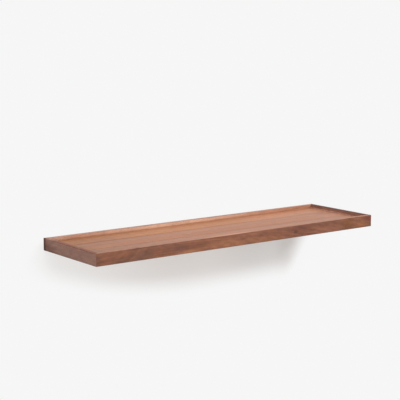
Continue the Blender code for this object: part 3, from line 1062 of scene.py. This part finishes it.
# The room: a smooth white wall that the plate is screwed to, and a pale floor far below.
# Only the camera sees them, from their painted sides, so that they never stand in the
# object's light, and the wall takes the shelf's shadow where the photograph shows it.
MAIN_LEVEL = 0.33
FILL_LEVEL = 0.20
OVERHEAD_LEVEL = 0.38
SKY_LEVEL = 0.60
SKY_SLOPE = 0.35
MAIN_FROM = Vector((1.062, -2.062, 1.194)).normalized()
FILL_FROM = Vector((-1.719, -1.500, 0.229)).normalized()
OVERHEAD_FROM = Vector((-0.15, -0.25, 1.0)).normalized()
PAPER_WHITE = 0.922
ROOM_SIZE = 12.0
ROOM_MARGIN = 0.2
WALL_SETBACK = 0.0005
FLOOR_HEIGHT = -1.2
wall_light = SKY_LEVEL
wall_light -= MAIN_LEVEL * MAIN_FROM.y + FILL_LEVEL * FILL_FROM.y + OVERHEAD_LEVEL * OVERHEAD_FROM.y


def room_face(name, location, turn):
    """A large painted face, marked off by a flat margin all round."""
    bpy.ops.object.select_all(action="DESELECT")
    bpy.ops.mesh.primitive_plane_add(size=ROOM_SIZE, location=location, rotation=turn)
    face = bpy.context.object
    face.name = name
    bpy.ops.object.mode_set(mode="EDIT")
    bpy.ops.mesh.select_all(action="SELECT")
    bpy.ops.mesh.inset(thickness=ROOM_MARGIN, depth=0.0)
    bpy.ops.object.mode_set(mode="OBJECT")
    bpy.ops.object.transform_apply(location=True, rotation=True, scale=True)
    face.visible_diffuse = False
    face.visible_glossy = False
    face.visible_transmission = False
    face.visible_shadow = False
    return face


def room_paint(name, shadow=None, total_light=0.0):
    """White paint, lit by the lamps only as far as shadow says in red, green and blue.

    The rest of its white is a steady glow, so that it comes out paper white in full light.
    """
    material = bpy.data.materials.new(name)
    material.use_nodes = True
    material.node_tree.nodes.clear()
    start = Wire(material.node_tree)
    shares = dict(zip(("Red", "Green", "Blue"), shadow(start) if shadow else (0.0, 0.0, 0.0)))
    lit = start.out("ShaderNodeCombineColor", {}, shares)
    rest = {channel: PAPER_WHITE - share * total_light for channel, share in shares.items()}
    steady = start.out("ShaderNodeCombineColor", {}, rest)
    paint = start.out("ShaderNodeBsdfDiffuse", {}, {"Color": lit})
    glow = start.out("ShaderNodeEmission", {}, {"Color": steady, "Strength": 1.0})
    both = start.out("ShaderNodeAddShader", {}, {0: paint, 1: glow})
    clear = start.out("ShaderNodeBsdfTransparent")
    back = start.out("ShaderNodeNewGeometry", name="Backfacing")
    side = start.out("ShaderNodeMixShader", {}, {0: back, 1: both, 2: clear})
    start.node("ShaderNodeOutputMaterial", {}, {"Surface": side})
    return material


def below_the_shelf(start):
    """How much of the shelf's shadow the wall shows: most at the right, warmer at the left."""
    x, y, z = start.out("ShaderNodeTexCoord", name="Object").split()
    leftward = start.maths("MAXIMUM", 0.05 - x, 0.0)
    lower_end = leftward * leftward * 0.36 - 0.203
    under = (z - lower_end).fade(0.0, 0.068) * (0.012 - z).fade(0.0, 0.02)
    right_end = 1.0 - (x - z * 0.60).fade(0.451, 0.504)
    depth = (x + 0.53).fade(0.0, 0.12) * 0.25 + (x + 0.50).fade(0.0, 0.50) * 0.233
    depth = depth + (x - 0.05).fade(0.0, 0.20) * 0.097
    depth = depth + (x - 0.30).fade(0.0, 0.08) * (-0.04 - z) * 2.7
    share = under * right_end * depth
    cool = (x - 0.10).fade(0.0, 0.15)
    return share * (0.92 + cool * 0.035), share * (1.01 - cool * 0.02), share * (1.08 - cool * 0.05)


wall = room_face("wall", (0.0, WALL_SETBACK, 0.0), frontwards)
wall.data.materials.append(room_paint("wall_paint", below_the_shelf, wall_light))
floor = room_face("floor", (0.0, 0.0, FLOOR_HEIGHT), (0.0, 0.0, 0.0))
floor.data.materials.append(room_paint("floor_paint"))


# The light: a large soft lamp at the right, in front and above, a weaker one at the left and a
# broad one overhead, in an even paper-white studio that is brighter above than below.
MAIN_SPREAD = 13.3
FILL_SPREAD = 25.0
OVERHEAD_SPREAD = 50.0


def far_lamp(name, towards, level, spread):
    """A lamp so far away that its light is even. Its spread in degrees softens its shadows."""
    lamp = bpy.data.lights.new(name, "SUN")
    lamp.energy = level * math.pi
    lamp.angle = math.radians(spread)
    holder = bpy.data.objects.new(name, lamp)
    holder.rotation_mode = "QUATERNION"
    holder.rotation_quaternion = towards.to_track_quat("Z", "Y")
    bpy.context.scene.collection.objects.link(holder)


far_lamp("key_lamp", MAIN_FROM, MAIN_LEVEL, MAIN_SPREAD)
far_lamp("fill_lamp", FILL_FROM, FILL_LEVEL, FILL_SPREAD)
far_lamp("overhead_lamp", OVERHEAD_FROM, OVERHEAD_LEVEL, OVERHEAD_SPREAD)


def studio_world():
    """Paper white to the eye and in gloss, and a sky that grows brighter upwards as light."""
    world = bpy.data.worlds.new("studio")
    world.use_nodes = True
    world.node_tree.nodes.clear()
    start = Wire(world.node_tree)
    height = start.out("ShaderNodeTexCoord", name="Generated").split()[2]
    sky = {"Color": (1.0, 1.0, 1.0, 1.0), "Strength": height * SKY_SLOPE + SKY_LEVEL}
    light = start.out("ShaderNodeBackground", {}, sky)
    white = {"Color": (PAPER_WHITE, PAPER_WHITE, PAPER_WHITE, 1.0), "Strength": 1.0}
    paper = start.out("ShaderNodeBackground", {}, white)
    path = start.node("ShaderNodeLightPath")
    seen = Wire(start.tree, path.outputs["Is Camera Ray"])
    for kind in ("Is Glossy Ray", "Is Transmission Ray"):
        seen = seen.maths("MAXIMUM", seen, Wire(start.tree, path.outputs[kind]))
    both = start.out("ShaderNodeMixShader", {}, {0: seen, 1: light, 2: paper})
    start.node("ShaderNodeOutputWorld", {}, {"Surface": both})
    bpy.context.scene.world = world


studio_world()


# The photographer's view: a long lens from the front left, a little above the shelf.
# The lens suits a square picture, 400 x 400, whose size is not set here.
SENSOR_WIDTH = 36.0
FOCAL_LENGTH = 104.290
FAR_END = 50.0
STANDPOINT = Vector((-1.8803, -2.5333, 0.5655))
yaw = math.radians(37.1472)
pitch = math.radians(8.9235)
roll = math.radians(0.0887)
camera_data = bpy.data.cameras.new("photograph")
camera_data.sensor_width = SENSOR_WIDTH
camera_data.lens = FOCAL_LENGTH
camera_data.clip_end = FAR_END
camera = bpy.data.objects.new("photograph", camera_data)
sight = Vector(
    (math.sin(yaw) * math.cos(pitch), math.cos(yaw) * math.cos(pitch), -math.sin(pitch))
)
level_right = Vector((math.cos(yaw), -math.sin(yaw), 0.0))
level_up = level_right.cross(sight)
right = level_right * math.cos(roll) + level_up * math.sin(roll)
up = level_up * math.cos(roll) - level_right * math.sin(roll)
stand = Matrix((right, up, -sight)).transposed().to_4x4()
stand.translation = STANDPOINT
camera.matrix_world = stand
bpy.context.scene.collection.objects.link(camera)
bpy.context.scene.camera = camera
bpy.context.scene.view_settings.view_transform = "Standard"
